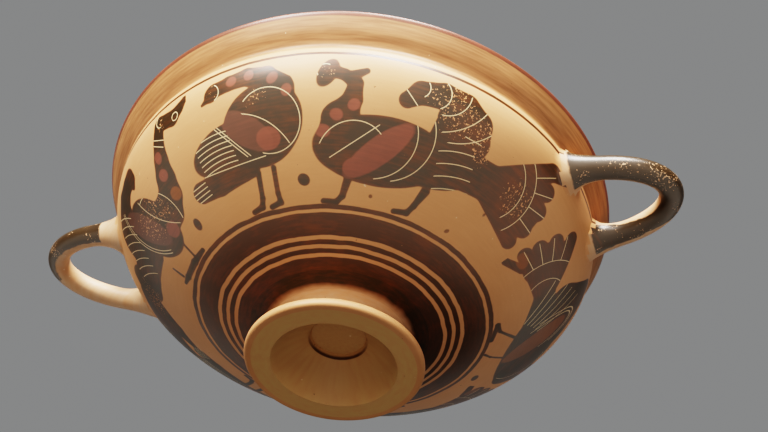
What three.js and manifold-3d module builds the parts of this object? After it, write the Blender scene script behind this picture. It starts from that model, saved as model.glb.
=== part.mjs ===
// A shallow two-handled drinking cup of fired clay, in millimetres, +Z up.
// The origin is under the middle of the foot, on the surface that the cup stands on.
// The handles reach out along +X and -X. Bowl, lip, foot and handles are one fired piece, hollow and open above.
import * as THREE from 'three';
import { mergeVertices } from 'three/addons/utils/BufferGeometryUtils.js';
import Module from 'manifold-3d';

// Driving dimensions. Heights are measured from the surface that the foot stands on, angles in degrees.
const RIM_RADIUS = 100;
const RIM_HEIGHT = 73;
const RIM_ROUNDING = 1.1;
const WALL = 4;
const LIP_WALL = 3.4;

// The lip: above the shoulder a slight roll, then a hollow neck that flares out to a ridge, then a steep band
const SHOULDER_RADIUS = 93.3;
const SHOULDER_HEIGHT = 57;
const ROLL = { out: 0.2, up: 2 };
const NECK = { out: -0.3, up: 4.6 };
const FLARE = { out: 0.5, up: 6.2 };
const RIDGE_RADIUS = 96.8;
const RIDGE_HEIGHT = 66.5;

// The bowl: how steeply its outside leaves the stem and meets the shoulder, and how far each slope carries
const BOWL_START_RADIUS = 25;
const BOWL_START_HEIGHT = 13.6;
const BOWL_START_RISE = 13;
const BOWL_START_PULL = 37;
const SHOULDER_RISE = 82;
const SHOULDER_PULL = 17;
const FLOOR_HEIGHT = 18.2;

// The foot: a low cone with a flat resting ring, hollow below, with a small recess at the top of the hollow
const FOOT_RADIUS = 32.3;
const FOOT_EDGE_HEIGHT = 3.4;
const FOOT_ROUNDING = 1.3;
const FOOT_DISH = 0.5;
const STEM_RADIUS = 19.5;
const STEM_HEIGHT = 8.8;
const STEM_FILLET = { in: 0.6, down: 1.7 };
const HOLLOW_RADIUS = 22.7;
const HOLLOW_BULGE = { out: 1.2, up: 0.4 };
const HOLLOW_TOP_HEIGHT = 12.2;
const RECESS_RADIUS = 10;
const RECESS_DRAFT = 0.7;
const RECESS_HEIGHT = 14.2;

// The handles: round bars, each a little different, and both swung a few degrees towards -Y
const HANDLE_RADIUS = 4.3;
const HANDLE_ROOT_RADIUS = 9.3;
const HANDLE_FLARE_LENGTH = 13;
const HANDLE_ROOT_DEPTH = 7;
const HANDLES = [
  { side: 1, reach: 127.6, rootHalfWidth: 17.6, rootHeight: 55.5, tipHeight: 54.5, swing: 5.6 },
  { side: -1, reach: 130.2, rootHalfWidth: 19.8, rootHeight: 55.5, tipHeight: 59.5, swing: 5.6 },
];

// Fineness of the faceted surfaces
const TURNS = 64;
const BOWL_STEPS = 9;
const STEM_STEPS = 6;
const LIP_STEPS = 8;
const EDGE_STEPS = 3;
const HANDLE_STEPS = 26;
const HANDLE_SIDES = 12;
const FLARE_PASSES = 3;
const WELD = 1e-4;

const rad = THREE.MathUtils.degToRad;
const clamp = THREE.MathUtils.clamp;
const at = (radius, height) => new THREE.Vector2(radius, height);
const along = (degrees) => at(Math.cos(rad(degrees)), Math.sin(rad(degrees)));
const aboveShoulder = ({ out, up }) => at(SHOULDER_RADIUS + out, SHOULDER_HEIGHT + up);

// A rounded edge as part of a circle about its centre, from one angle to another
function roundedEdge(centre, radius, from, to) {
  const points = [];
  for (let i = 0; i <= EDGE_STEPS; i++) {
    points.push(along(from + ((to - from) * i) / EDGE_STEPS).multiplyScalar(radius).add(centre));
  }
  return points;
}

// The same line set back by a thickness, towards the inside of the vessel
function setBack(curve, thickness, steps) {
  const points = [];
  for (let i = 0; i <= steps; i++) {
    const tangent = curve.getTangent(i / steps);
    points.push(curve.getPoint(i / steps).add(at(-tangent.y, tangent.x).multiplyScalar(thickness)));
  }
  return points;
}

// The bowl's outside: one smooth line from the stem, nearly straight at first, then turning up to the shoulder
const bowlStart = at(BOWL_START_RADIUS, BOWL_START_HEIGHT);
const shoulder = at(SHOULDER_RADIUS, SHOULDER_HEIGHT);
const bowlCurve = new THREE.CubicBezierCurve(
  bowlStart,
  bowlStart.clone().addScaledVector(along(BOWL_START_RISE), BOWL_START_PULL),
  shoulder.clone().addScaledVector(along(SHOULDER_RISE), -SHOULDER_PULL),
  shoulder,
);

// The lip's outside
const rimEdge = at(RIM_RADIUS, RIM_HEIGHT - RIM_ROUNDING);
const lipCurve = new THREE.SplineCurve([
  shoulder,
  aboveShoulder(ROLL),
  aboveShoulder(NECK),
  aboveShoulder(FLARE),
  at(RIDGE_RADIUS, RIDGE_HEIGHT),
  rimEdge,
]);

// The foot's upper side, from its edge in to the stem and out again under the bowl
const footTop = at(FOOT_RADIUS - FOOT_ROUNDING, FOOT_EDGE_HEIGHT);
const stemCurve = new THREE.SplineCurve([
  footTop,
  at((FOOT_RADIUS + STEM_RADIUS) / 2, (FOOT_EDGE_HEIGHT + STEM_HEIGHT) / 2 - FOOT_DISH),
  at(STEM_RADIUS, STEM_HEIGHT),
  at((STEM_RADIUS + BOWL_START_RADIUS) / 2 - STEM_FILLET.in, BOWL_START_HEIGHT - STEM_FILLET.down),
  bowlStart,
]);

// The whole outside as if the cup were solid clay up to the rim, starting and ending on the axis
function outsideProfile() {
  const footEdge = FOOT_RADIUS - FOOT_ROUNDING;
  const hollowMiddle = (RECESS_RADIUS + HOLLOW_RADIUS) / 2;
  return [
    at(0, RECESS_HEIGHT),
    at(RECESS_RADIUS, RECESS_HEIGHT),
    at(RECESS_RADIUS + RECESS_DRAFT, HOLLOW_TOP_HEIGHT),
    at(hollowMiddle + HOLLOW_BULGE.out, HOLLOW_TOP_HEIGHT / 2 + HOLLOW_BULGE.up),
    at(HOLLOW_RADIUS, 0),
    ...roundedEdge(at(footEdge, FOOT_ROUNDING), FOOT_ROUNDING, -90, 0),
    ...roundedEdge(at(footEdge, FOOT_EDGE_HEIGHT - FOOT_ROUNDING), FOOT_ROUNDING, 0, 90),
    ...stemCurve.getPoints(STEM_STEPS).slice(1, -1),
    ...bowlCurve.getPoints(BOWL_STEPS),
    ...lipCurve.getPoints(LIP_STEPS).slice(1, -1),
    ...roundedEdge(at(RIM_RADIUS - RIM_ROUNDING, rimEdge.y), RIM_ROUNDING, 0, 90),
    at(0, RIM_HEIGHT),
  ];
}

// The space inside the cup, carried up past the rim so that the cup is open above
function insideProfile() {
  const rimInside = RIM_RADIUS - LIP_WALL;
  return [
    at(0, FLOOR_HEIGHT),
    ...setBack(bowlCurve, WALL, BOWL_STEPS),
    ...setBack(lipCurve, LIP_WALL, LIP_STEPS).slice(2, -1),
    at(rimInside, rimEdge.y),
    at(rimInside + RIM_ROUNDING, RIM_HEIGHT),
    at(rimInside + 2 * RIM_ROUNDING, RIM_HEIGHT + RIM_ROUNDING),
    at(0, RIM_HEIGHT + RIM_ROUNDING),
  ];
}

// How far the outside reaches from the axis at a height on the bowl or the lip
const wallLine = [...bowlCurve.getPoints(4 * BOWL_STEPS), ...lipCurve.getPoints(2 * LIP_STEPS).slice(1)];
function wallRadiusAt(height) {
  const next = Math.max(1, wallLine.findIndex((point) => point.y > height));
  const [low, high] = [wallLine[next - 1], wallLine[next]];
  return THREE.MathUtils.mapLinear(height, low.y, high.y, low.x, high.x);
}

// One handle's middle line: half an ellipse standing on the bowl, carried straight into the wall at both ends
class HandleLine extends THREE.Curve {
  constructor({ side, reach, rootHalfWidth, rootHeight, tipHeight, swing }) {
    super();
    const start = Math.sqrt(wallRadiusAt(rootHeight) ** 2 - rootHalfWidth ** 2);
    Object.assign(this, { side, rootHalfWidth, rootHeight, tipHeight, swing, start });
    this.length = reach - HANDLE_RADIUS - start;
    this.endShare = HANDLE_ROOT_DEPTH / (2 * HANDLE_ROOT_DEPTH + 2 * this.length + rootHalfWidth);
  }

  getPoint(t, target = new THREE.Vector3()) {
    const share = this.endShare;
    const turn = (clamp((t - share) / (1 - 2 * share), 0, 1) - 0.5) * Math.PI;
    const sunk = (HANDLE_ROOT_DEPTH * Math.max(0, share - t, t - 1 + share)) / share;
    const out = Math.cos(turn);
    const height = this.rootHeight + (this.tipHeight - this.rootHeight) * out;
    target.set(this.start + this.length * out - sunk, this.rootHalfWidth * Math.sin(turn), height);
    target.applyAxisAngle(new THREE.Vector3(0, 0, 1), rad(-this.swing));
    target.x *= this.side;
    return target;
  }
}

// How much a bar widens at a distance out from the wall: a quarter of an ellipse, 1 at the wall and 0 past the flare
function flareAt(gap) {
  const share = 1 - clamp(gap / HANDLE_FLARE_LENGTH, 0, 1);
  return 1 - Math.sqrt(1 - share ** 2);
}

// A round bar turned straight, then bent along a line, with its ends flared on to the bowl's wall
function bentBar(line, sides, steps) {
  const length = line.getLength();
  const rings = Array.from({ length: steps + 1 }, (_, i) => at(1, (length * i) / steps));
  const bar = new THREE.LatheGeometry([at(0, 0), ...rings, at(0, length)], sides);
  const frames = line.computeFrenetFrames(steps, false);
  const position = bar.attributes.position;
  for (let i = 0; i < position.count; i++) {
    const station = position.getY(i) / length;
    const index = Math.round(station * steps);
    const middle = line.getPointAt(clamp(station, 0, 1));
    const outward = frames.normals[index].clone().multiplyScalar(position.getX(i));
    outward.addScaledVector(frames.binormals[index], -position.getZ(i));
    let radius = HANDLE_RADIUS;
    for (let pass = 0; pass < FLARE_PASSES; pass++) {
      const point = middle.clone().addScaledVector(outward, radius);
      const gap = Math.hypot(point.x, point.y) - wallRadiusAt(point.z);
      radius = HANDLE_RADIUS + (HANDLE_ROOT_RADIUS - HANDLE_RADIUS) * flareAt(gap);
    }
    const point = middle.addScaledVector(outward, radius);
    position.setXYZ(i, point.x, point.y, point.z);
  }
  return bar;
}

const wasm = await Module();
wasm.setup();

// A closed geometry as a solid: shared corners are merged and the empty triangles at the poles are dropped
function solid(geometry) {
  geometry.deleteAttribute('normal');
  geometry.deleteAttribute('uv');
  const merged = mergeVertices(geometry, WELD);
  const triangles = [];
  for (let i = 0; i < merged.index.count; i += 3) {
    const [a, b, c] = [0, 1, 2].map((k) => merged.index.getX(i + k));
    if (a !== b && b !== c && c !== a) {
      triangles.push(a, b, c);
    }
  }
  return new wasm.Manifold(new wasm.Mesh({
    numProp: 3,
    vertProperties: new Float32Array(merged.attributes.position.array),
    triVerts: new Uint32Array(triangles),
  }));
}

// A solid of revolution about the vertical axis
function turned(profile) {
  const geometry = new THREE.LatheGeometry(profile, TURNS);
  geometry.rotateX(Math.PI / 2);
  return solid(geometry);
}

function meshOf(shape, name, material) {
  const { vertProperties, triVerts } = shape.getMesh();
  const geometry = new THREE.BufferGeometry();
  geometry.setAttribute('position', new THREE.BufferAttribute(new Float32Array(vertProperties), 3));
  geometry.setIndex(new THREE.BufferAttribute(new Uint32Array(triVerts), 1));
  geometry.computeVertexNormals();
  const mesh = new THREE.Mesh(geometry, material);
  mesh.name = name;
  return mesh;
}

const firedClay = new THREE.MeshStandardMaterial({ color: 0xc89a66, roughness: 0.55, metalness: 0 });

let cup = turned(outsideProfile());
for (const handle of HANDLES) {
  cup = cup.add(solid(bentBar(new HandleLine(handle), HANDLE_SIDES, HANDLE_STEPS)));
}
cup = cup.subtract(turned(insideProfile()));

const part = new THREE.Group();
part.add(meshOf(cup, 'cup', firedClay));

export default part;
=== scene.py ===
# %% [markdown]
# # A shallow two-handled cup of fired clay
# This file is a lesson in making one turned, handled and painted clay vessel in Blender.
# The real cup was thrown on a wheel, its foot and handles were added, and it was painted with liquid clay
# called slip before it was fired. The lesson follows the same order: turn, join, dry, paint, light.
# The first cell loads the fixed model whose size and place the finished cup has to keep.

# %% Load the fixed model
import math

import bmesh
import bpy
from mathutils import Matrix, Vector
from mathutils.geometry import interpolate_bezier


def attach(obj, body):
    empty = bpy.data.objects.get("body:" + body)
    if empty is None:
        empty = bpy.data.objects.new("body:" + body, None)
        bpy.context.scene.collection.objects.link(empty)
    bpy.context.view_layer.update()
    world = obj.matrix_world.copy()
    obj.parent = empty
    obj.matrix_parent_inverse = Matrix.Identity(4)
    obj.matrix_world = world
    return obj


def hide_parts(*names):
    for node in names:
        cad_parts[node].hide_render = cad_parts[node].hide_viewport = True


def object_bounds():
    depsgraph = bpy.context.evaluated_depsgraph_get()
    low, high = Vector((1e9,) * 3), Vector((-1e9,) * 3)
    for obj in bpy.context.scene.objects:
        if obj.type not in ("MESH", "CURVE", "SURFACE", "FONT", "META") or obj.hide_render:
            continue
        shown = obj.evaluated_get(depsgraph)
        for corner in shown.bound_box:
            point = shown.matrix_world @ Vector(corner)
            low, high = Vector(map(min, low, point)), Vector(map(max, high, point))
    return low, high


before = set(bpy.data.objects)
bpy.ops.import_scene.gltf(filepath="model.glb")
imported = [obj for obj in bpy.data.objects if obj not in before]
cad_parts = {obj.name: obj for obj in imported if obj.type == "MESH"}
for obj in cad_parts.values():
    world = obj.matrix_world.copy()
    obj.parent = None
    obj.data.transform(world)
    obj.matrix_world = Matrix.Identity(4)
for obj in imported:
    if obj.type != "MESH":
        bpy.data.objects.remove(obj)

cad_low, cad_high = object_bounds()
scene = bpy.context.scene
print("fixed model from", tuple(cad_low), "to", tuple(cad_high))

# %% [markdown]
# ## Sizes
# A potter checks a cup with a few gauges: how wide the rim is, how thick the wall, how high the foot.
# All sizes here are in millimetres, and one factor turns them into Blender's metres at the very end.
# Rim and height are read from the fixed model, so that the cup follows it if that changes.

# %% Sizes in millimetres
MM = 0.001
RIM_RADIUS = cad_high.y / MM
RIM_HEIGHT = cad_high.z / MM
RIM_ROUNDING = 1.1
WALL = 4
LIP_WALL = 3.4
SHOULDER_RADIUS = 93.3
SHOULDER_HEIGHT = 57
LIP_BENDS = [(0.2, 2), (-0.3, 4.6), (0.5, 6.2)]
RIDGE = (96.8, 66.5)
BOWL_START = (25, 13.6)
BOWL_START_RISE = 13
BOWL_START_PULL = 37
SHOULDER_RISE = 82
SHOULDER_PULL = 17
FLOOR_HEIGHT = 18.2
FOOT_RADIUS = 32.3
FOOT_EDGE_HEIGHT = 3.4
FOOT_ROUNDING = 1.3
FOOT_DISH = 0.5
STEM = (19.5, 8.8)
STEM_TOP_DISH = (0.6, 1.7)
HOLLOW_RADIUS = 22.7
HOLLOW_TOP_HEIGHT = 12.2
HOLLOW_BULGE = (1.2, 0.4)
RECESS_RADIUS = 10
RECESS_DRAFT = 0.7
RECESS_HEIGHT = 14.2
HANDLE_RADIUS = 4.3
HANDLE_ROOT_RADIUS = 9.3
HANDLE_FLARE_LENGTH = 13
print("rim radius", round(RIM_RADIUS, 2), "height", round(RIM_HEIGHT, 2))

# %% [markdown]
# ## The profile
# A thrown pot is the same all the way round, so its whole form is one line seen from the side.
# It could be drawn as many points by hand. Here each stretch is a curve with a name instead: a Bezier curve
# for the sweep of the bowl, and a smooth line through a few points for lip and foot. Changing one named
# size then reshapes the pot without leaving dents.

# %% Helpers that draw lines
def heading(degrees):
    return Vector((math.cos(math.radians(degrees)), math.sin(math.radians(degrees))))


def through(points, count):
    """A smooth line through all the points, with count steps between neighbours."""
    p = [Vector(point) for point in points]
    p = [p[0], *p, p[-1]]
    line = []
    for a, b, c, d in zip(p, p[1:], p[2:], p[3:]):
        bend = 2 * a - 5 * b + 4 * c - d
        twist = 3 * b - a - 3 * c + d
        for step in range(count):
            t = step / count
            line.append(b + 0.5 * t * ((c - a) + t * (bend + t * twist)))
    return [*line, p[-2]]


def rounded(centre, radius, start, end, count=6):
    """Part of a circle from one heading to another."""
    return [Vector(centre) + radius * heading(start + (end - start) * i / count) for i in range(count + 1)]


def set_back(line, thickness):
    """The same line moved to its left by a wall's thickness."""
    moved = []
    for i, point in enumerate(line):
        run = (line[min(i + 1, len(line) - 1)] - line[max(i - 1, 0)]).normalized()
        moved.append(point + thickness * Vector((-run.y, run.x)))
    return moved


def finely(line, longest):
    """The same line with no step longer than the one given."""
    fine = [line[0]]
    for a, b in zip(line, line[1:]):
        steps = max(1, math.ceil((b - a).length / longest))
        fine += [a.lerp(b, (i + 1) / steps) for i in range(steps)]
    return fine


print("a quarter of a circle ends at", tuple(round(x, 3) for x in rounded((0, 0), 1, 0, 90)[-1]))

# %% The bowl, lip, foot and hollow as lines
BOWL_STEPS = 70
LIP_STEPS = 5
STEM_STEPS = 6
HOLLOW_STEPS = 8

bowl_start = Vector(BOWL_START)
shoulder = Vector((SHOULDER_RADIUS, SHOULDER_HEIGHT))
bowl_line = [Vector(point) for point in interpolate_bezier(
    bowl_start, bowl_start + BOWL_START_PULL * heading(BOWL_START_RISE),
    shoulder - SHOULDER_PULL * heading(SHOULDER_RISE), shoulder, BOWL_STEPS)]
rim_edge = Vector((RIM_RADIUS, RIM_HEIGHT - RIM_ROUNDING))
lip_line = through([shoulder, *(shoulder + Vector(bend) for bend in LIP_BENDS), RIDGE, rim_edge], LIP_STEPS)
foot_edge = FOOT_RADIUS - FOOT_ROUNDING
foot_slope = ((FOOT_RADIUS + STEM[0]) / 2, (FOOT_EDGE_HEIGHT + STEM[1]) / 2 - FOOT_DISH)
stem_top = ((STEM[0] + BOWL_START[0]) / 2 - STEM_TOP_DISH[0], BOWL_START[1] - STEM_TOP_DISH[1])
stem_line = through([(foot_edge, FOOT_EDGE_HEIGHT), foot_slope, STEM, stem_top, BOWL_START], STEM_STEPS)
hollow_slope = ((RECESS_RADIUS + HOLLOW_RADIUS) / 2 + HOLLOW_BULGE[0],
                HOLLOW_TOP_HEIGHT / 2 + HOLLOW_BULGE[1])
hollow_line = through([(RECESS_RADIUS + RECESS_DRAFT, HOLLOW_TOP_HEIGHT), hollow_slope, (HOLLOW_RADIUS, 0)],
                      HOLLOW_STEPS)
outside_line = (
    rounded((foot_edge, FOOT_ROUNDING), FOOT_ROUNDING, -90, 0)
    + rounded((foot_edge, FOOT_EDGE_HEIGHT - FOOT_ROUNDING), FOOT_ROUNDING, 0, 90)
    + stem_line[1:] + bowl_line[1:] + lip_line[1:-1]
    + rounded((RIM_RADIUS - RIM_ROUNDING, rim_edge.y), RIM_ROUNDING, 0, 90))
inside_line = (
    [Vector((0, FLOOR_HEIGHT))] + set_back(bowl_line, WALL) + set_back(lip_line, LIP_WALL)[2:-1]
    + rounded((RIM_RADIUS - LIP_WALL + RIM_ROUNDING, rim_edge.y), RIM_ROUNDING, 180, 90))
under_line = [Vector((0, RECESS_HEIGHT)), Vector((RECESS_RADIUS, RECESS_HEIGHT))] + hollow_line
print("steps on the outside", len(outside_line), "and the inside", len(inside_line))

# %% [markdown]
# ## Throwing the cup
# The potter turns a wall of clay. Blender's spin does the same: it sweeps a line of edges round an axis.
# A Screw modifier could do it too, but spin gives plain mesh at once. The closed line runs from the axis
# under the foot, up the outside, over the rim and back to the axis inside, so the wall is thick all over.
# Doubled points at the axis are merged, and then the faces are turned to point outwards.

# %% Spin the profile
TURNS = 264
LONGEST_STEP = 1.4
DOUBLES_WITHIN = 0.01


def turned(name, line, turns):
    shape = bmesh.new()
    corners = [shape.verts.new((point.x * MM, 0, point.y * MM)) for point in line]
    edges = [shape.edges.new(pair) for pair in zip(corners, corners[1:])]
    bmesh.ops.spin(shape, geom=corners + edges, cent=(0, 0, 0), axis=(0, 0, 1), dvec=(0, 0, 0),
                   angle=math.tau, steps=turns, use_merge=True, use_normal_flip=False, use_duplicate=False)
    bmesh.ops.remove_doubles(shape, verts=shape.verts, dist=DOUBLES_WITHIN * MM)
    bmesh.ops.recalc_face_normals(shape, faces=shape.faces)
    mesh = bpy.data.meshes.new(name)
    shape.to_mesh(mesh)
    shape.free()
    piece = bpy.data.objects.new(name, mesh)
    scene.collection.objects.link(piece)
    return piece


whole_line = finely(under_line + outside_line + inside_line[::-1], LONGEST_STEP)
cup = turned("painted_cup", whole_line, TURNS)
print("turned body has", len(cup.data.vertices), "points from", len(whole_line), "on the line")

# %% [markdown]
# ## Rolling the handles
# Each handle is a roll of clay bent into a loop, with its ends pressed flat and wide on to the bowl.
# A bevelled curve could make the roll, but its ends would not spread on the curved wall. So one ring of
# points is extruded again and again along the loop, and the ring swells as it nears the bowl.

# %% How far the bowl reaches at a height
ROOT_HEIGHT = 55.5

wall_line = bowl_line + lip_line[1:]


def wall_radius_at(height):
    for low, high in zip(wall_line, wall_line[1:]):
        if height <= high.y:
            break
    return low.x + (high.x - low.x) * (height - low.y) / (high.y - low.y)


print("at the handles' height the wall is", round(wall_radius_at(ROOT_HEIGHT), 1), "mm from the axis")

# %% Roll a handle along its loop
SWING = 5.6
HANDLES = {
    "right": dict(side=1, reach=127.5, root_half_width=17.6, tip_height=54.5),
    "left": dict(side=-1, reach=130.07, root_half_width=19.8, tip_height=59.5),
}
HANDLE_STEPS = 72
HANDLE_SIDES = 40
ROOT_DEPTH = 7
ROOT_SUNK = 2
SPREAD_ROUNDS = 4


def handle_start(handle):
    return math.sqrt(wall_radius_at(ROOT_HEIGHT) ** 2 - handle["root_half_width"] ** 2)


def handle_point(handle, share):
    """A point of the loop's middle line, from one root at 0 to the other at 1."""
    start = handle_start(handle)
    length = handle["reach"] - HANDLE_RADIUS - start
    end_share = ROOT_DEPTH / (2 * ROOT_DEPTH + 2 * length + handle["root_half_width"])
    turn = (min(1, max(0, (share - end_share) / (1 - 2 * end_share))) - 0.5) * math.pi
    sunk = ROOT_DEPTH * max(0, end_share - share, share - 1 + end_share) / end_share
    out = math.cos(turn)
    point = Vector((start + length * out - sunk, handle["root_half_width"] * math.sin(turn),
                    ROOT_HEIGHT + (handle["tip_height"] - ROOT_HEIGHT) * out))
    point.rotate(Matrix.Rotation(math.radians(-SWING), 3, "Z"))
    point.x *= handle["side"]
    return point


def gap_to_wall(point):
    return math.hypot(point.x, point.y) - wall_radius_at(point.z)


def flare(gap):
    """How much of its widening the roll has at a distance from the wall: all at 0, none past the flare."""
    share = 1 - min(1, max(0, gap / HANDLE_FLARE_LENGTH))
    return 1 - math.sqrt(1 - share ** 2)


def ring_frame(handle, step):
    here = handle_point(handle, step / HANDLE_STEPS)
    before = handle_point(handle, max(0, step - 0.5) / HANDLE_STEPS)
    after = handle_point(handle, min(HANDLE_STEPS, step + 0.5) / HANDLE_STEPS)
    run = (after - before).normalized()
    side = run.cross(Vector((0, 0, 1))).normalized()
    turn = Matrix((side, run.cross(side), run)).transposed()
    return Matrix.Translation(here) @ turn.to_4x4()


def rolled(name, handle):
    roll = bmesh.new()
    frames = [ring_frame(handle, step) for step in range(HANDLE_STEPS + 1)]
    made = bmesh.ops.create_circle(roll, segments=HANDLE_SIDES, radius=HANDLE_RADIUS, matrix=frames[0])
    ring = made["verts"]
    rings = [ring]
    edges = list(roll.edges)
    for last, following in zip(frames, frames[1:]):
        grown = bmesh.ops.extrude_edge_only(roll, edges=edges)["geom"]
        ring = [part for part in grown if isinstance(part, bmesh.types.BMVert)]
        edges = [part for part in grown if isinstance(part, bmesh.types.BMEdge)]
        edges = [edge for edge in edges if edge.verts[0] in ring and edge.verts[1] in ring]
        bmesh.ops.transform(roll, matrix=following @ last.inverted(), verts=ring)
        rings.append(ring)
    for middle, ring in zip(frames, rings):
        spread_on_wall(middle.translation, ring)
    bmesh.ops.holes_fill(roll, edges=[edge for edge in roll.edges if edge.is_boundary], sides=0)
    bmesh.ops.recalc_face_normals(roll, faces=roll.faces)
    bmesh.ops.scale(roll, vec=(MM, MM, MM), verts=roll.verts)
    mesh = bpy.data.meshes.new(name)
    roll.to_mesh(mesh)
    roll.free()
    piece = bpy.data.objects.new(name, mesh)
    scene.collection.objects.link(piece)
    return piece


def spread_on_wall(middle, ring):
    """Widens a ring near the wall. Each round measures the gap again, from where the last one ended."""
    for corner in ring:
        outward = (corner.co - middle).normalized()
        radius = HANDLE_RADIUS
        for _ in range(SPREAD_ROUNDS):
            gap = gap_to_wall(middle + radius * outward)
            radius = HANDLE_RADIUS + (HANDLE_ROOT_RADIUS - HANDLE_RADIUS) * flare(gap)
        corner.co = middle + radius * outward
        too_deep = -ROOT_SUNK - gap_to_wall(corner.co)
        if too_deep > 0:
            corner.co += too_deep * Vector((corner.co.x, corner.co.y, 0)).normalized()


rolls = [rolled("handle_" + side, handle) for side, handle in HANDLES.items()]
print("each roll has", len(rolls[0].data.vertices), "points")

# %% [markdown]
# ## Joining clay to clay
# The potter wets the joint and presses until handle and wall are one. A Boolean modifier in union mode does
# that: it keeps the outer skin of both and drops what lies inside. The result is read back as a plain mesh,
# and the points along the joint are smoothed a little, as a wet finger would.

# %% Union, then smooth the joints
SEAM_ZONE = 18
SEAM_START = 0.15
SEAM_REACH = 2.2
SEAM_PASSES = 5
JOINT_DOUBLES_WITHIN = 0.02

for roll in rolls:
    union = cup.modifiers.new(roll.name, "BOOLEAN")
    union.operation = "UNION"
    union.solver = "EXACT"
    union.object = roll
joined = bpy.data.meshes.new_from_object(cup.evaluated_get(bpy.context.evaluated_depsgraph_get()))
cup.modifiers.clear()
cup.data = joined
for roll in rolls:
    bpy.data.objects.remove(roll)

clay = bmesh.new()
clay.from_mesh(joined)
bmesh.ops.remove_doubles(clay, verts=clay.verts, dist=JOINT_DOUBLES_WITHIN * MM)
bmesh.ops.dissolve_degenerate(clay, edges=clay.edges, dist=JOINT_DOUBLES_WITHIN * MM)
seam = []
for corner in clay.verts:
    point = corner.co / MM
    on_side = abs(point.x) > SHOULDER_RADIUS - SEAM_ZONE and FOOT_RADIUS < point.z < RIDGE[1]
    if on_side and SEAM_START < gap_to_wall(point) < SEAM_REACH:
        seam.append(corner)
for _ in range(SEAM_PASSES):
    bmesh.ops.smooth_vert(clay, verts=seam, factor=0.5, use_axis_x=True, use_axis_y=True, use_axis_z=True)
print("joined cup has", len(clay.verts), "points,", len(seam), "of them smoothed at the joints")
print("open edges", sum(not edge.is_manifold for edge in clay.edges))

# %% [markdown]
# ## Which finish goes where
# A cup has several kinds of surface: the bare underside of the foot, the painted outside, the slip inside
# and the handles. One mesh can wear several materials, one to a face. The faces could be picked by hand, but
# here a face's place tells what it is, so the choice still holds after a size has changed.

# %% Tell the surfaces apart
HANDLE_GAP = 0.5
UNDERSIDE_TOP = RECESS_HEIGHT + 0.1
UNDERSIDE_DEPTH = 1
INSIDE_START = FLOOR_HEIGHT - 1
INSIDE_DEPTH = WALL / 3


def outside_radius_at(height):
    if height >= BOWL_START[1]:
        return wall_radius_at(height)
    for low, high in zip(outside_line, outside_line[1:]):
        if low.y <= height <= high.y:
            return min(low.x, high.x)
    return FOOT_RADIUS


def side_of(centre):
    """The kind of surface that a face belongs to, from its centre in millimetres."""
    radius = math.hypot(centre.x, centre.y)
    if centre.z > BOWL_START[1] and radius > wall_radius_at(min(centre.z, RIM_HEIGHT)) + HANDLE_GAP:
        return "handles"
    if centre.z <= UNDERSIDE_TOP and radius < outside_radius_at(centre.z) - UNDERSIDE_DEPTH:
        return "underside"
    if centre.z > INSIDE_START and radius < outside_radius_at(centre.z) - INSIDE_DEPTH:
        return "inside"
    return "outside"


def azimuth_of(point):
    """Degrees round the cup from its front, growing towards +X."""
    return math.degrees(math.atan2(point.x, -point.y))


print("a point at the front right lies at", azimuth_of(Vector((1, -1, 0))))

# %% [markdown]
# ## Shader maths as sentences
# Blender's shader editor wires one node per sum. Long patterns read better as Python, so one small class
# wraps an output socket: adding or multiplying two wrapped sockets adds a Math node and wraps its result.
# Every other node comes from one method, which sets the node's options first and then its inputs.

# %% A socket that Python can do sums with
class Wire:
    def __init__(self, tree, socket):
        self.tree, self.socket = tree, socket

    def node(self, kind, settings=None, inputs=None, output=0):
        made = self.tree.nodes.new(kind)
        for name, value in (settings or {}).items():
            setattr(made, name, value)
        for name, value in (inputs or {}).items():
            if isinstance(value, Wire):
                self.tree.links.new(value.socket, made.inputs[name])
            else:
                made.inputs[name].default_value = value
        return Wire(self.tree, made.outputs[output]) if made.outputs else None

    def math(self, operation, *values, clamp=False):
        settings = {"operation": operation, "use_clamp": clamp}
        return self.node("ShaderNodeMath", settings, dict(enumerate(values)))

    def vector(self, operation, *values, output=0):
        return self.node("ShaderNodeVectorMath", {"operation": operation}, dict(enumerate(values)), output)

    def __add__(self, other):
        return self.math("ADD", self, other)

    def __radd__(self, other):
        return self.math("ADD", other, self)

    def __sub__(self, other):
        return self.math("SUBTRACT", self, other)

    def __rsub__(self, other):
        return self.math("SUBTRACT", other, self)

    def __mul__(self, other):
        return self.math("MULTIPLY", self, other)

    def __rmul__(self, other):
        return self.math("MULTIPLY", other, self)

    def __truediv__(self, other):
        return self.math("DIVIDE", self, other)

    def __gt__(self, other):
        return self.math("GREATER_THAN", self, other)

    def __lt__(self, other):
        return self.math("LESS_THAN", self, other)

    def __abs__(self):
        return self.math("ABSOLUTE", self)

    def clamped(self):
        return self.math("ADD", self, 0.0, clamp=True)

    def most(self, other):
        return self.math("MAXIMUM", self, other)

    def length(self):
        return self.vector("LENGTH", self, output=1)

    def along(self, direction):
        return self.vector("DOT_PRODUCT", self, direction, output=1)


def new_finish(name):
    """A material whose nodes are cleared, and a wire from a new node that carries the surface's own
    coordinates in metres.
    """
    material = bpy.data.materials.new(name)
    material.use_nodes = True
    material.node_tree.nodes.clear()
    place = Wire(material.node_tree, None).node("ShaderNodeTexCoord", output=3)
    return material, place


print("sockets can be added, multiplied and compared")
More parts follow.
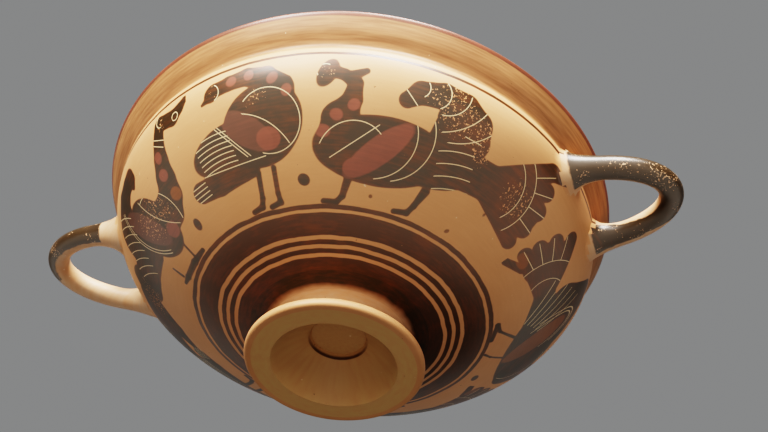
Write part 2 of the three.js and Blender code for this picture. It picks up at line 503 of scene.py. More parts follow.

# %% [markdown]
# ## Clay and slip
# The clay is fine, buff and burnished, so it is warm, cloudy and a little shiny, with faint marks from the
# wheel, tiny dark grits, pale lime spots and a few pits. Thin washes of brown, ochre or a pale crust tint it
# at the lip, the handles and the foot. Where the slip is rubbed off near the stem, that pale colour is
# partly a painted highlight. The slip is a skin of finer clay, black where it is thick and red-brown where
# it ran thin, and its gloss is a thin clear coat. Dull reds and browns are laid on top of it in places, and
# a needle scratches lines through it all down to the clay. Each finish could be built by itself, but they
# would drift apart. So one function mixes them all, from masks that say where things lie.

# %% Colours
CLAY_LIGHT = (0.70, 0.362, 0.18, 1)
CLAY_DEEP = (0.50, 0.235, 0.10, 1)
CLAY_GRIT = (0.20, 0.09, 0.04, 1)
CLAY_LIME = (0.80, 0.62, 0.42, 1)
LIP_WASH = (0.25, 0.11, 0.045, 1)
FOOT_OCHRE = (0.60, 0.375, 0.165, 1)
# Pale crust on the handles; at the stem the same colour is partly a painted highlight.
PALE_CRUST_AND_HIGHLIGHT = (0.58, 0.43, 0.30, 1)
PIT = (0.12, 0.05, 0.025, 1)
SLIP_THICK = (0.033, 0.017, 0.005, 1)
SLIP_THIN = (0.15, 0.040, 0.007, 1)
SLIP_BROWN = (0.22, 0.070, 0.016, 1)
DULL_RED = (0.125, 0.048, 0.027, 1)
ADDED_RED = (0.21, 0.065, 0.037, 1)
SCRATCH = (0.70, 0.52, 0.30, 1)
print("from the palest clay", CLAY_LIGHT[:3], "to the blackest slip", SLIP_THICK[:3])


# %% Small helpers for patterns
def noise(place, scale, detail=2.0, rough=0.5):
    return place.node("ShaderNodeTexNoise", inputs={"Vector": place, "Scale": scale, "Detail": detail,
                                                    "Roughness": rough})


def blend(share, low, high):
    """A colour between low and high."""
    return share.node("ShaderNodeMix", {"data_type": "RGBA"}, {0: share, 6: low, 7: high}, output=2)


def blend_value(share, low, high):
    """A value between low and high."""
    return share.node("ShaderNodeMix", inputs={0: share, 2: low, 3: high})


def soft_step(value, edge, width):
    """0 below the edge and 1 above it, with a ramp of the width given."""
    return value.math("MULTIPLY_ADD", value, 1 / width, 0.5 - edge / width, clamp=True)


def radius_of(place):
    """Millimetres from the cup's axis."""
    return place.vector("MULTIPLY", place, (1 / MM, 1 / MM, 0)).length()


def height_of(place):
    """Millimetres above the ground."""
    return place.along((0, 0, 1 / MM))


def any_of(masks):
    whole = masks[0]
    for mask in masks[1:]:
        whole = whole.most(mask)
    return whole


def bands(distance, edges, soft=0.25):
    """1 between each pair of edges, in millimetres, and 0 elsewhere."""
    made = []
    for low, high in edges:
        away = abs(distance - (low + high) / 2)
        made.append(away.math("MULTIPLY_ADD", away, -1 / soft, (high - low) / 2 / soft + 0.5, clamp=True))
    return any_of(made)


print("patterns are made of noise, blends, soft steps and bands")

# %% Mix clay, slip, washes and scratches
CLOUDS = 26
PATCHES = 70
LIME_SPOTS = 610
GRITS = 700
FLAKES = 1300
FINE_GRAIN = 1500
SPOT_SOFTNESS = 0.03
ROUND_THE_WHEEL = (9, 9, 0)
WHEEL_STREAKS = 0.8


def finish_surface(material, place, slip, over=(), scratch=None, pits=None, washes_and_painted_light=(), wear=0.0, thin=0.0,
                   painted_shade=0.0):
    """Adds the shader. slip, scratch and pits are masks, and on the foot's underside the slip mask is a
    painted shadow. over and the washes hold masks with the colours laid on the slip and on the clay; at the
    stem a pale one is partly a painted highlight. wear and thin say how worn and how brown the slip is, and
    the last argument darkens the clay as painted shade."""
    level = place.node("ShaderNodeCombineXYZ", inputs={2: radius_of(place) + height_of(place)})
    round_axis = place.vector("NORMALIZE", place.vector("MULTIPLY", place, (1, 1, 0)))
    streaked = round_axis.vector("MULTIPLY_ADD", round_axis, ROUND_THE_WHEEL, level)
    wheel = noise(streaked, WHEEL_STREAKS, 3.0)
    cloud = noise(place, CLOUDS, 3.0)
    fine = noise(place, FINE_GRAIN, 2.0, 0.6)
    grit = soft_step(noise(place, GRITS, 1.0), 0.80, SPOT_SOFTNESS)
    lime = soft_step(noise(place, LIME_SPOTS, 1.0), 0.81, SPOT_SOFTNESS)
    patch = noise(place, PATCHES, 4.0, 0.65) * 0.55 + wheel * 0.45
    flake = soft_step(noise(place, FLAKES, 2.0, 0.7) + wear, 0.80, SPOT_SOFTNESS)
    # The clay's tone varies at random, and is darkened further where painted shade is asked for.
    tone = (cloud * 0.8 + wheel * 0.3 + fine * 0.15 - 0.12 - painted_shade).clamped()
    clay_colour = blend(tone, CLAY_DEEP, CLAY_LIGHT)
    for mask, laid_on in washes_and_painted_light:
        clay_colour = blend((wheel * 1.1 + 0.25).clamped() * mask, clay_colour, laid_on)
    clay_colour = blend(grit * 0.7, clay_colour, CLAY_GRIT)
    clay_colour = blend(lime * 0.6, clay_colour, CLAY_LIME)
    slip_colour = blend((soft_step(patch, 0.62, 0.3) * 0.8 + thin).clamped(), SLIP_THICK, SLIP_THIN)
    for mask, laid_on in over:
        slip_colour = blend((patch * 1.2 + 0.2).clamped() * mask, slip_colour, laid_on)
    painted = (1 - flake) * slip
    colour = blend(painted, clay_colour, slip_colour)
    if scratch:
        colour = blend(scratch, colour, SCRATCH)
    height = fine * 0.25 + wheel * 0.45 - grit * 0.6
    if pits:
        colour = blend(pits * 0.8, colour, PIT)
        height = height - pits * 2.5
    bump = place.node("ShaderNodeBump", inputs={"Strength": 0.35, "Distance": 0.12 * MM, "Height": height})
    rough = 0.45 - painted * 0.10 + fine * 0.08
    shader = place.node("ShaderNodeBsdfPrincipled", inputs={
        "Base Color": colour, "Roughness": rough, "Normal": bump, "Specular IOR Level": 0.38,
        "Coat Weight": painted * 0.18, "Coat Roughness": 0.3})
    place.node("ShaderNodeOutputMaterial", inputs={0: shader})


print("a colour can be clay, wash, slip, what is laid over the slip, scratch or pit")

# %% [markdown]
# ## A sheet to draw on
# The birds were painted with a brush on a surface that curves both ways. Their shapes could be drawn on an
# unwrapped map, but a bowl stretches when it is unwrapped. Here each bird gets its own flat sheet, held
# against the bowl at its place, and a Mapping node lays every stroke on that sheet. A stroke is a chain of
# tapered bars, a wing is an oval, a feather line is part of a circle, and a smooth minimum runs the slip of
# neighbouring strokes together as wet slip does.

# %% Figures as strokes, ovals and needle lines
GROUND_RADIUS = 55.7
SHEET_SLOPE = 41.7
FAR = 1000.0
NEEDLE = 0.15
RUN_TOGETHER = 0.9
DABS = ("red", "dull", "brown", "thin", "worn", "pits")

ground_height = next(point.y for point in bowl_line if point.x >= GROUND_RADIUS)


def flat(degrees):
    return Vector((math.cos(math.radians(degrees)), math.sin(math.radians(degrees)), 0))


class Sheet:
    """A flat sheet held against the bowl: X to the right and Y up the bowl, in millimetres."""

    def __init__(self, place, azimuth, mirrored=False):
        lean = Matrix.Rotation(math.radians(90 + SHEET_SLOPE), 4, "X")
        stand = Matrix.Translation((0, -GROUND_RADIUS * MM, ground_height * MM)) @ lean
        held = Matrix.Rotation(math.radians(azimuth), 4, "Z") @ stand
        self.here = place.node("ShaderNodeMapping", {"vector_type": "TEXTURE"}, {
            "Vector": place, "Location": held.translation, "Rotation": held.to_euler(),
            "Scale": (-MM if mirrored else MM, MM, FAR)})

    def from_spot(self, x, y):
        return self.here.vector("SUBTRACT", self.here, (x, y, 0))

    def squeezed(self, x, y, long, wide, turn):
        """The way from a spot, shortened lengthways until the oval round the spot is a circle."""
        away = self.from_spot(x, y)
        if long == wide:
            return away
        lengthways = away.vector("PROJECT", away, flat(turn))
        less = wide / long - 1
        return lengthways.vector("MULTIPLY_ADD", lengthways, (less, less, less), away)

    def oval(self, x, y, long, wide, turn=0):
        """Millimetres to an oval's edge, less than 0 inside it."""
        return self.squeezed(x, y, long, wide, turn).length() - wide

    def bar(self, x, y, half, end_x, end_y, end_half):
        """Millimetres to a round-ended bar whose half width changes evenly along it."""
        run = Vector((end_x - x, end_y - y, 0))
        away = self.from_spot(x, y)
        share = away.along(run / run.length_squared).clamped()
        nearest = share.node("ShaderNodeVectorMath", {"operation": "SCALE"}, {0: run, "Scale": share})
        return away.vector("DISTANCE", away, nearest, output=1) - share.math(
            "MULTIPLY_ADD", share, end_half - half, half)

    def arc(self, x, y, long, wide, middle, half):
        """1 on part of an oval line, within half degrees of its middle heading."""
        away = self.squeezed(x, y, long, wide, middle)
        reach = away.length()
        on_line = reach.math("COMPARE", reach, wide, NEEDLE)
        return on_line * (away.along(flat(middle)) > wide * math.cos(math.radians(half)))

    def line(self, x, y, end_x, end_y):
        """1 on a straight line."""
        return self.bar(x, y, NEEDLE, end_x, end_y, NEEDLE) < 0.0

    def hatch(self, x, y, turn, half_length, spacing, count, bend=0.0):
        """1 on each of several lines side by side, which bend can curve."""
        away = self.from_spot(x, y)
        lengthways = away.along(flat(turn))
        across = away.along(flat(turn + 90) / spacing) + lengthways * lengthways * bend
        shifted = across + (0.5 if count % 2 == 0 else 0.0)
        on_line = shifted.math("PINGPONG", shifted, 0.5) < NEEDLE / spacing
        return on_line * (abs(lengthways) < half_length) * (abs(across) < count / 2)

    def rays(self, x, y, middle, near, far, step, count):
        """1 on each of several lines that fan out from a spot."""
        away = self.from_spot(x, y)
        step = math.radians(step)
        turned_by = away.math("ARCTAN2", away.along(flat(middle + 90)), away.along(flat(middle))) / step
        reach = away.length()
        shifted = turned_by + (0.5 if count % 2 == 0 else 0.0)
        on_line = shifted.math("PINGPONG", shifted, 0.5) * reach < NEEDLE / step
        return on_line * (abs(turned_by) < count / 2) * (reach > near) * (reach < far)

    def draw(self, plan, drawn):
        """Adds the parts of a plan, one by one, to what has been drawn so far."""
        for oval in plan.get("ovals", []):
            drawn["edge"] = run_together(drawn["edge"], self.oval(*oval))
        for stroke in plan.get("strokes", []):
            for start, end in zip(stroke, stroke[1:]):
                drawn["edge"] = run_together(drawn["edge"], self.bar(*start, *end))
        for kind in DABS:
            for oval in plan.get(kind, []):
                drawn[kind] = run_together(drawn[kind], self.oval(*oval), 0.0)
        for tool in (self.arc, self.line, self.hatch, self.rays):
            for mark in plan.get(tool.__name__, []):
                drawn["cut"] = tool(*mark) if drawn["cut"] is None else drawn["cut"].most(tool(*mark))


def run_together(edge, other, amount=RUN_TOGETHER):
    return other if edge is None else edge.math("SMOOTH_MIN", edge, other, amount)


print("ground line is", round(ground_height, 1), "mm up")

# %% [markdown]
# ## The birds
# The bowl carries a row of large water birds with long necks, curled wings and fanned tails, standing on a
# ring round the foot. These are plain birds of that common kind. An image could hold them, but it would blur
# close up, and a plan is easier to change. Each plan has brush strokes, given as x, y and half width in
# millimetres on its own sheet. Ovals of red, dull red or brown go on top, and others mark where the slip is
# thin, worn or pitted. Arcs, lines, hatches and rays are the needle's work on the feathers.

# %% Plans of the birds
LOOKING_BACK = dict(
    ovals=[(11.5, 26.5, 15.5, 13, 30), (-4, 23, 14.5, 7.6, 12), (-3.9, 42.8, 3.9, 3.0, 35)],
    strokes=[[(-3.5, 43.2, 2.7), (3, 43.9, 2.8), (10, 43.9, 3.3), (16.5, 41.2, 4.4), (19.5, 36, 6.5)],
             [(-5.8, 41.2, 1.5), (-8.7, 39.9, 0.6)],
             [(2, 15.5, 4.6), (-11, 12.8, 3.9), (-19.3, 12.3, 3.6)],
             [(4.8, 12, 1.0), (2.6, 4, 0.85), (1.2, 1.4, 1.0), (-2.5, 0.6, 0.9)],
             [(10.6, 12, 1.0), (8.6, 4, 0.85), (8.2, 1, 1.0), (4.5, 0.4, 0.9)]],
    red=[(4, 44.3, 2, 1.7), (10.8, 44.2, 1.8, 1.8), (19, 40.6, 2.3, 1.9, 40), (22.9, 35, 2.1, 1.8, 70),
         (12.4, 21.4, 4.2, 3.8)],
    dull=[(5.5, 26.2, 10.6, 5.2, -45)],
    arc=[(-4.3, 42.8, 3.0, 3.0, -5, 68), (14.2, 27.2, 11, 11, 5, 124), (-1, 12.5, 20.6, 20.6, 43, 28)],
    line=[(9.5, 16.4, -19.8, 16.6), (-6.6, 31.3, 3.2, 18), (-5.4, 31.4, 4.4, 18)],
    hatch=[(-8.4, 23.2, 6, 7.2, 1.75, 7, 0.008), (-19.2, 12.2, 12, 3.6, 1.5, 4)],
    worn=[(-4, 43, 2.5, 2.5), (13, 36, 5, 3)],
)
STRIDING = dict(
    ovals=[(-12, 17.5, 22.5, 11.4, 8), (8, 20, 16, 8.6, 12), (-36.4, 36.9, 5.4, 3.0, 76),
           (40, 18, 12, 9.5, 100)],
    strokes=[[(-25.5, 16.5, 8.6), (-28, 23.5, 6.2), (-26.4, 30.5, 3.4), (-26.8, 36, 2.4), (-31, 37.8, 2.0),
              (-35.6, 38, 2.4)],
             [(-28.4, 38.2, 1.9), (-24.6, 41.2, 1.1)],
             [(-9.4, 36, 2.9), (-5.5, 39.8, 4.1), (2.5, 41.3, 4.7), (10.2, 40, 5.2), (15.8, 35.6, 5.6),
              (17, 30, 5.2), (11, 25.5, 6)],
             [(5.2, 35, 3.6), (8, 27.5, 8)],
             [(18, 20.5, 6.6), (27, 19.6, 6.4)],
             [(27, 19.8, 5.6), (48.6, 31.6, 3.4)], [(27, 19.8, 5.2), (48.8, 24.4, 3.4)],
             [(27, 19.4, 5.2), (48, 17.2, 3.5)], [(27, 19, 5.2), (45, 10.2, 3.4)],
             [(26, 18.6, 5), (41.4, 4.8, 3.1)], [(50, 30.4, 1.8), (55.8, 29.7, 0.7)],
             [(-19.2, 7, 1.5), (-18.8, 0.2, 1.0), (-20, -2.2, 1.0), (-24, -3.0, 0.9)],
             [(6.4, 10, 1.6), (4.6, 4.4, 1.0), (3.2, 1.6, 1.0), (-1.2, 0.8, 0.9)]],
    red=[(-25.3, 29.1, 2.1, 1.9, 60), (-29.7, 24.4, 2.1, 1.9), (-32.1, 18.2, 2.4, 2.1),
         (-18.8, 9.8, 3.4, 3.2), (-12.6, 17.6, 13.4, 4.5, 54)],
    arc=[(-20.5, 13.5, 11.2, 11.2, 116, 62), (-12, 24, 15.8, 15.8, -13, 54), (-16, 22, 14.3, 14.3, -20, 51),
          (26, 21, 13.6, 13.6, 0, 50), (26, 21, 18, 18, -4, 48), (-6.6, 41.6, 3.6, 3.6, -3, 47),
          (-1.1, 41.6, 5.6, 5.6, -2, 56), (2.4, 44.2, 9.1, 9.1, -42, 44), (-2.4, 51.7, 23.1, 23.1, -48, 24),
          (4.6, 49.9, 22.9, 22.9, -60, 22), (-37, 37, 2.9, 2.9, 150, 70)],
    line=[(-27.1, 10.7, -15.4, 25.3), (-11, 39.6, -5.6, 35.2), (13, 31, 19, 30.2)],
    hatch=[(13, 19.3, 10, 6.4, 4.1, 4, 0.004)],
    rays=[(26, 21, -3, 18, 26.5, 16, 4)],
    thin=[(44, 17, 17, 16), (18, 31, 9, 6)],
    worn=[(8, 38, 13, 8, -30), (20, 31, 5, 8), (-36, 37, 3, 3), (38, 18, 7, 7)],
    pits=[(18.7, 0.4, 0.9, 0.6, 30), (28.9, 9.5, 0.8, 0.5, 60), (-10.1, 2.9, 0.5, 0.5)],
)
FAR_FLYER = dict(
    ovals=[(20, 19.5, 27, 12.8, -6), (-26, 20, 10.5, 8.5, 95)],
    strokes=[[(2, 20, 8), (-5, 29, 6.5), (0, 40, 6)], [(18, 26, 9), (4, 36, 8)],
             [(2, 18.4, 7), (-11, 19, 4.8)],
             [(-12, 19, 4.2), (-31, 30.8, 3.1)], [(-12, 19, 4.2), (-33.2, 23.8, 3.3)],
             [(-12, 19, 4.2), (-33.2, 16.8, 3.3)], [(-12, 18.6, 4.2), (-32.4, 10.8, 3.1)],
             [(-27, 9.4, 1.9), (-32, 3.6, 1.5)],
             [(38, 17, 8.4), (46.4, 27, 4.6), (46, 36, 3.2), (50.4, 40.6, 2.8)],
             [(7.8, 9.6, 0.7), (1.2, 2.6, 0.6), (-3, 1.3, 0.9), (5.6, -0.1, 0.9)],
             [(19.8, 7.4, 0.5), (16.5, 1.5, 0.45), (13.8, -1.2, 0.6)]],
    red=[(46, 31, 2, 1.8), (44, 24, 2.2, 2)],
    brown=[(15, 20, 14.5, 5.6, 124), (-30.5, 9.6, 3.4, 2.4)],
    arc=[(14, 20.4, 16, 7.2, 118, 95), (13.6, 20.4, 17.6, 8.8, 118, 80), (-11, 19, 15.3, 15.3, 180, 52),
          (-11, 19, 7.8, 7.8, 180, 56), (30, 18, 11, 11, 20, 70)],
    rays=[(19.4, -0.4, 133, 22, 43, 5.4, 6), (-11, 19, 178, 15.3, 24.5, 15, 4)],
    thin=[(-25, 18, 14, 14)],
)
TALL_NECKED = dict(
    ovals=[(3, 20, 13.5, 11, 112), (-10, 26, 13, 11, 120)],
    strokes=[[(4, 18, 8), (15.5, 17.2, 6.4), (21.5, 19.6, 5.4), (24.8, 24, 4.9), (28.3, 29.2, 3.7),
              (32, 34.6, 2.9), (35.6, 39.4, 2.8), (42, 35.8, 3.0), (45.6, 36.2, 2.2), (48.3, 37.2, 1.6)],
             [(-10, 32, 8), (-2, 38.4, 4.6), (4.5, 40, 3.5), (9, 40, 3.9)],
             [(11, 38.4, 1.8), (8.8, 36.2, 1.2)],
             [(-10, 22, 9.6), (-22, 19, 6.8), (-30, 18, 7)],
             [(7.7, 9.9, 0.5), (5.5, 1.9, 0.5)],
             [(10.6, 0.2, 0.8), (3, 1.2, 1.3), (-6, 1.7, 1.1), (-10.1, 2, 0.6)],
             [(-7.7, 8, 0.4), (-7.5, 3.6, 0.6)]],
    red=[(28, 30.9, 2.3, 1.8, 60), (24.9, 25.4, 2.3, 2.2), (9.4, 13, 3.4, 3)],
    brown=[(23.2, 17.7, 2.7, 2.4)],
    dull=[(-0.5, 23, 12.5, 5.2, 116)],
    arc=[(7, 18, 12, 12, 31, 65), (34.6, 32.3, 29.1, 29.1, 204, 22), (11.2, 27.8, 20.1, 20.1, 195, 42),
          (11.2, 27.8, 21.3, 21.3, 195, 42), (43, 35.4, 1.4, 1.4, 0, 180), (36.8, 40.2, 2.4, 2.4, 150, 100)],
    line=[(30.4, 37.2, 34.6, 33), (28.9, 36, 32.6, 31.6)],
    hatch=[(-15.5, 27.5, -35, 6.2, 3.2, 8, 0.006)],
    worn=[(12, 22, 8, 6, 120), (2, 22, 10, 6, 118), (36, 39, 3, 3)],
)
LONG_TAIL = dict(
    strokes=[[(32, 20, 7), (24, 20.8, 4.9), (8.6, 16.6, 4.3), (-4, 13.6, 1.5), (-15.8, 11.2, 0.5)],
             [(24, 21, 5), (-14, 24.5, 4.4)], [(24, 23, 5), (-12, 33, 4.4)]],
    arc=[(26, 21, 22, 22, 150, 16), (26, 21, 27, 27, 150, 16)],
    rays=[(26, 21, 150, 27, 42, 12, 3)],
    worn=[(24, 19, 9, 6)],
    pits=[(32.6, 20.9, 1.0, 0.8, 20)],
)
SPOTS = dict(
    ovals=[(18.8, 5.6, 2.0, 2.0), (-26.6, 3.6, 2.2, 1.6, 105)],
)
LAST_SPOT = dict(
    ovals=[(31, -0.9, 2.2, 1.3)],
)

# %% [markdown]
# ## Placing the figures round the bowl
# Every figure is given the azimuth of its sheet and the range of the bowl that it covers. The bowl is cut
# into sectors at the ends of those ranges, and each sector gets a material that draws only the figures
# that reach it. One material could hold every bird, but it would be slow to work out, and past a certain
# number of nodes a shader renders black.

# %% Places of the figures
FIGURES = [
    (TALL_NECKED, -54, False, -100, -22),
    (LONG_TAIL, -100, False, -140, -66),
    (SPOTS, -12, False, -50, 12),
    (LAST_SPOT, 108, False, 125, 155),
    (LOOKING_BACK, -12, False, -37, 8.5),
    (STRIDING, 36, False, 8.5, 78),
    (FAR_FLYER, 108, False, 78, 145),
    (FAR_FLYER, 175, False, 145, 218),
    (LOOKING_BACK, 238, True, 218, 260),
]
FOOT_RINGS = [(25.4, 37.6), (39.0, 40.7), (42.1, 43.8), (45.3, 53.0), (54.1, 55.7)]
SHOULDER_LINE = (56.3, 57.5)
RIM_LINE_START = 70.7
WASH_START = 59.8
RINGS_FROM_HEIGHT = 12.4
WOBBLE_SCALE = 130
WOBBLE = 0.9
FRINGE_EDGE = 27.0
FRINGE_WIDTH = 2.4
FRINGE_RAGGED = 4.0
THIN_REACH = 9
WORN_REACH = 4


def covers(figure, azimuth):
    """Whether an azimuth is in a figure's range, on whichever lap it is counted."""
    start, end = figure[3:]
    return any(start <= azimuth + lap < end for lap in (-360, 0, 360))


print(len(FIGURES), "figures to place")


# %% Paint one sector of the outside
def brush_wobble(place):
    """Millimetres by which a painted edge strays."""
    return (noise(place, WOBBLE_SCALE) - 0.5) * WOBBLE


def outside_finish(number, figures):
    """Rings, lines and washes, and the figures of one sector on top of them."""
    material, place = new_finish(f"painted_outside_{number}")
    wobble = brush_wobble(place)
    radius = radius_of(place) + wobble
    height = height_of(place) + wobble * 0.5
    ground = bands(radius, FOOT_RINGS) * (height > RINGS_FROM_HEIGHT)
    rim_line = soft_step(height, RIM_LINE_START, 0.3)
    slip = ground.most(bands(height, [SHOULDER_LINE])).most(rim_line)
    washes_and_painted_light = [(soft_step(height_of(place), WASH_START, 1.6), LIP_WASH)]
    over = [(rim_line * 0.9, ADDED_RED)]
    drawn = dict.fromkeys(("edge", "cut", *DABS))
    for plan, azimuth, mirrored, _, _ in figures:
        Sheet(place, azimuth, mirrored).draw(plan, drawn)
    if drawn["edge"] is None:
        # Near the stem the slip is rubbed off, and the clay there is made pale, which is partly a painted
        # highlight.
        rubbed_and_highlit = soft_step(FRINGE_EDGE - radius + wobble * FRINGE_RAGGED, 0.0, FRINGE_WIDTH)
        washes_and_painted_light.append((rubbed_and_highlit * 0.8, PALE_CRUST_AND_HIGHLIGHT))
        finish_surface(material, place, slip * (1 - rubbed_and_highlit * 0.85), over, washes_and_painted_light=washes_and_painted_light)
        return material
    edge = drawn["edge"] + wobble * 0.35
    slip = slip.most(soft_step(0.0 - edge, 0.0, 0.3))
    cut = drawn["cut"] * (edge < 0.0) if drawn["cut"] else None
    thin = soft_step(edge, -0.45, 0.6) * 0.3
    worn, pits = 0.0, None
    for kind, colour in (("brown", SLIP_BROWN), ("dull", DULL_RED), ("red", ADDED_RED)):
        if drawn[kind]:
            over.append((soft_step(wobble * 0.6 - drawn[kind], 0.0, 0.5), colour))
    if drawn["thin"]:
        thin = thin + soft_step(0.0 - drawn["thin"], 0.0, THIN_REACH) * 0.35
    if drawn["worn"]:
        worn = soft_step(0.0 - drawn["worn"], 0.0, WORN_REACH) * 0.19
    if drawn["pits"]:
        pits = soft_step(wobble - drawn["pits"], 0.0, 0.3)
    finish_surface(material, place, slip, over, cut, pits, washes_and_painted_light, worn, thin)
    return material


print("painted edges stray by up to", WOBBLE / 2, "mm")

# %% [markdown]
# ## Painting the handles
# The painter brushed slip over one side of each handle and left the rest of the roll bare. It could be
# painted on an unwrapped map, but the joint with the bowl would cut that map up. Here the slip's edge is a
# plane that leans as it goes along the loop: a point is black where it lies far enough out and up, or down,
# from the loop's middle line.

# %% Slip on one side of a roll
HANDLE_SLIP = {
    "right": dict(near=(0.65, -0.77, -0.8), far=(-0.6, -0.8, 2.9), turn_at=0.5, bare_share=0.02),
    "left": dict(near=(0.75, 0.3, -1.2), far=(0.75, 0.3, 8.0), turn_at=0.45, bare_share=0.2),
}
RAGGED_SCALE = 260
RAGGED = 1.6
TURN_SOFTNESS = 0.6
CRUST_SCALE = 120


def handle_slip(place, handle, near, far, turn_at, bare_share):
    """Black on one side of a handle's roll. near and far are for the arm in front and the arm behind: how
    much that side faces outwards and upwards, and how many millimetres from the middle line it starts."""
    start = handle_start(handle)
    length = handle["reach"] - HANDLE_RADIUS - start
    swing = math.radians(SWING)
    out = Vector((handle["side"] * math.cos(swing), -math.sin(swing), 0))
    here = place.node("ShaderNodeMapping", {"vector_type": "TEXTURE"}, {
        "Vector": place, "Location": start * out * MM, "Rotation": (0, 0, math.atan2(out.y, out.x)),
        "Scale": (length * MM, handle["root_half_width"] * MM, FAR)})
    share = here.along((1, 0, 0))
    change = soft_step(here.along((0, handle["side"], 0)), turn_at, TURN_SOFTNESS)
    outwards, upwards, edge = (change * (b - a) + a for a, b in zip(near, far))
    beyond = (here.length() - 1) * length
    middle = share * (handle["tip_height"] - ROOT_HEIGHT) + ROOT_HEIGHT
    above = height_of(place) - middle
    ragged = (noise(place, RAGGED_SCALE, 3.0) - 0.5) * RAGGED
    facing = beyond * outwards + above * upwards - edge
    coated = soft_step(facing + ragged, 0.0, 0.5)
    return coated * soft_step(share * length + ragged, bare_share * length, 0.6)


def handles_finish():
    """Both handles in one finish, parted at the cup's middle, with a pale crust that flakes the slip."""
    material, place = new_finish("painted_handles")
    right = handle_slip(place, HANDLES["right"], **HANDLE_SLIP["right"])
    left = handle_slip(place, HANDLES["left"], **HANDLE_SLIP["left"])
    slip = blend_value(place.along((1, 0, 0)) > 0.0, left, right)
    crust = soft_step(noise(place, CRUST_SCALE, 3.0), 0.5, 0.2)
    washes_and_painted_light = [(crust * 0.25 + 0.35, PALE_CRUST_AND_HIGHLIGHT)]
    finish_surface(material, place, slip, washes_and_painted_light=washes_and_painted_light, wear=crust * 0.2, thin=-0.35)
    return material


print("slip on the", " and the ".join(HANDLE_SLIP), "handle")

# %% [markdown]
# ## The inside and the foot
# A drinking cup of this kind was coated inside with slip, apart from a few thin rings that were left bare
# while it turned. The hollow of the foot stayed bare clay, with an ochre wash. Inside the hollow the clay is
# painted darker as painted shade, and a thin dark band part of the way round the edge of the recess is a
# painted shadow in the slip's colour. Rings of mesh would stand up from the wall. Bands of radius and height
# lie in it, and they are as round as the cup.

# %% Finishes of the inside and the foot
INSIDE_RINGS = [(9.5, 11), (13.6, 14.8), (86.6, 87.6)]
INSIDE_RINGS_TOP = 60.0
INSIDE_LIP_LINE = (69.6, 70.6)
# Inside this radius the foot's hollow is painted darker, as painted shade.
HOLLOW_SHADE_EDGE = 22.5
HOLLOW_SHADE_SOFTNESS = 3.0
# A painted shadow: a thin band at the edge of the recess, on one side only, in the slip's colour.
RECESS_SHADOW_RING = (10.4, 10.9)
RECESS_SHADOW_SIDE = (-0.37, 0.93)
RECESS_SHADOW_START = 3.0
RECESS_SHADOW_TAPER = 8.0


def inside_finish():
    material, place = new_finish("slip_inside")
    wobble = brush_wobble(place)
    radius = radius_of(place) + wobble
    bare = bands(radius, INSIDE_RINGS) * (height_of(place) < INSIDE_RINGS_TOP)
    lip = bands(height_of(place), [INSIDE_LIP_LINE])
    finish_surface(material, place, 1 - bare.most(lip), thin=-0.15, wear=0.02)
    return material


def underside_finish():
    material, place = new_finish("bare_foot")
    radius = radius_of(place)
    # Painted shade: inside the hollow of the foot the clay gets a deeper tone and less ochre.
    hollow_shade = soft_step(HOLLOW_SHADE_EDGE - radius, 0.0, HOLLOW_SHADE_SOFTNESS)
    # Painted shadow: a thin dark band along the edge of the recess, on one side only.
    across = place.along((RECESS_SHADOW_SIDE[0] / MM, RECESS_SHADOW_SIDE[1] / MM, 0))
    behind = soft_step(across, RECESS_SHADOW_START, RECESS_SHADOW_TAPER)
    recess_shadow = bands(radius, [RECESS_SHADOW_RING]) * behind
    washes_and_painted_light = [(hollow_shade * -0.25 + 0.95, FOOT_OCHRE)]
    finish_surface(material, place, recess_shadow * 0.9, washes_and_painted_light=washes_and_painted_light, thin=0.4, painted_shade=hollow_shade * 0.2)
    return material


print(len(INSIDE_RINGS), "bare rings inside")

# %% [markdown]
# ## Dressing the cup
# Every face now gets the number of its finish. The sectors could be listed by hand, but they change with the
# figures. So each face of the bowl looks up the figures that cover its azimuth, and a finish is made the
# first time that a set of figures comes up.

# %% Give every face its finish
FIGURES_START = BOWL_START[1] + 2
FIGURES_END = SHOULDER_HEIGHT + 1
SHARPEST_SMOOTH = 38

finishes = {"handles": handles_finish(), "underside": underside_finish(), "inside": inside_finish()}
for material in finishes.values():
    joined.materials.append(material)
numbers = {side: number for number, side in enumerate(finishes)}
for face in clay.faces:
    centre = face.calc_center_median() / MM
    side = side_of(centre)
    if side == "outside":
        azimuth = azimuth_of(centre)
        on_bowl = FIGURES_START < centre.z < FIGURES_END
        side = tuple(i for i, figure in enumerate(FIGURES) if on_bowl and covers(figure, azimuth))
        if side not in numbers:
            numbers[side] = len(joined.materials)
            joined.materials.append(outside_finish(numbers[side], [FIGURES[i] for i in side]))
    face.material_index = numbers[side]
    face.smooth = True
clay.to_mesh(joined)
clay.free()
joined.set_sharp_from_angle(angle=math.radians(SHARPEST_SMOOTH))
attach(cup, "root")
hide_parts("cup")
print("triangles", sum(len(face.vertices) - 2 for face in joined.polygons))
print("nodes in each finish", {m.name: len(m.node_tree.nodes) for m in joined.materials})

# %% [markdown]
# ## Floor, light and camera
# The photograph looks up at the cup from below, as when it is held up to be seen. The cup stands on its
# foot here, so the camera is under the floor, and the floor's back is left clear to let it see the cup.
# Turning the cup over would be simpler, but then it would not stand as the real one does. The floor throws
# no shadow and reflects no light on the cup, so only the soft lights and the grey of the wall shade it.

# %% Camera
PHOTO_WIDTH = 768
SENSOR_WIDTH = 36
FOCAL_PIXELS = 1000
CAMERA_AZIMUTH = 21.6
CAMERA_ELEVATION = -47.256
CAMERA_ROLL = 8.085
CAMERA_DISTANCE = 352.6
CAMERA_ASIDE = 17.8
CAMERA_ABOVE = 53.1

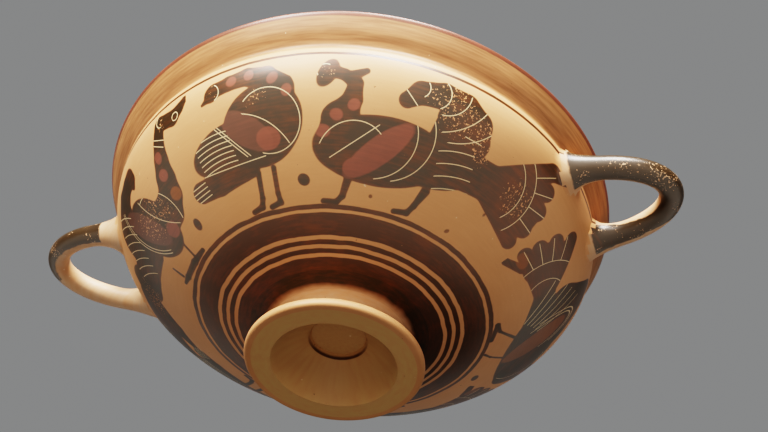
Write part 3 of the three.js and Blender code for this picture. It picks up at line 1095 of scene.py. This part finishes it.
azimuth, elevation = math.radians(CAMERA_AZIMUTH), math.radians(CAMERA_ELEVATION)
back = Vector((math.sin(azimuth) * math.cos(elevation), -math.cos(azimuth) * math.cos(elevation),
               math.sin(elevation)))
turn = back.to_track_quat("Z", "Y").to_matrix() @ Matrix.Rotation(math.radians(CAMERA_ROLL), 3, "Z")
right, up = turn.col[0], turn.col[1]
camera = bpy.data.objects.new("camera", bpy.data.cameras.new("camera"))
camera.data.sensor_width = SENSOR_WIDTH
camera.data.lens = FOCAL_PIXELS * SENSOR_WIDTH / PHOTO_WIDTH
camera.data.clip_start = 0.01
camera.matrix_world = Matrix.Translation(
    (CAMERA_DISTANCE * back + CAMERA_ASIDE * right + CAMERA_ABOVE * up) * MM) @ turn.to_4x4()
scene.collection.objects.link(camera)
scene.camera = camera
print("camera at", tuple(round(x, 3) for x in camera.matrix_world.translation))

# %% Floor and wall
FLOOR_REACH = 1.5
FLOOR_GREY = (0.62, 0.61, 0.59, 1)
WALL_GREY = (0.198, 0.200, 0.201, 1)

ground = bmesh.new()
bmesh.ops.create_grid(ground, x_segments=1, y_segments=1, size=FLOOR_REACH)
floor_mesh = bpy.data.meshes.new("floor")
ground.to_mesh(floor_mesh)
ground.free()
floor = bpy.data.objects.new("floor", floor_mesh)
scene.collection.objects.link(floor)
floor.visible_shadow = False
floor.visible_diffuse = False
pale = bpy.data.materials.new("pale_floor")
pale.use_nodes = True
pale.node_tree.nodes.clear()
seen_from_below = Wire(pale.node_tree, None).node("ShaderNodeNewGeometry", output=6)
matt = seen_from_below.node("ShaderNodeBsdfDiffuse", inputs={0: FLOOR_GREY})
clear = seen_from_below.node("ShaderNodeBsdfTransparent")
either = seen_from_below.node("ShaderNodeMixShader", inputs={0: seen_from_below, 1: matt, 2: clear})
either.node("ShaderNodeOutputMaterial", inputs={0: either})
floor_mesh.materials.append(pale)

world = bpy.data.worlds.new("grey_wall")
scene.world = world
world.use_nodes = True
world.node_tree.nodes["Background"].inputs[0].default_value = WALL_GREY
world.node_tree.nodes["Background"].inputs[1].default_value = 1.0
scene.view_settings.view_transform = "Filmic"
scene.view_settings.look = "Very High Contrast"
print("floor of", FLOOR_GREY[:3], "and wall of", WALL_GREY[:3])


# %% Lights
WARM_WHITE = (1.0, 0.97, 0.92)
AIM = Vector((0, 0, 0.04))


def soft_light(name, azimuth, elevation, distance, size, power):
    """A round area lamp aimed at the middle of the cup."""
    lamp = bpy.data.lights.new(name, "AREA")
    lamp.shape = "DISK"
    lamp.size = size
    lamp.energy = power
    lamp.color = WARM_WHITE
    light = bpy.data.objects.new(name, lamp)
    a, e = math.radians(azimuth), math.radians(elevation)
    towards = Vector((math.sin(a) * math.cos(e), -math.cos(a) * math.cos(e), math.sin(e)))
    turn = towards.to_track_quat("Z", "Y").to_matrix().to_4x4()
    light.matrix_world = Matrix.Translation(distance * towards + AIM) @ turn
    scene.collection.objects.link(light)


soft_light("key", azimuth=26, elevation=42, distance=0.9, size=0.4, power=21)
soft_light("left_front", azimuth=-12, elevation=20, distance=0.9, size=0.4, power=14)
soft_light("low_front", azimuth=20, elevation=5, distance=1.0, size=0.8, power=4.4)
soft_light("from_below", azimuth=CAMERA_AZIMUTH, elevation=-50, distance=1.0, size=0.8, power=0.9)
print("four soft lights")
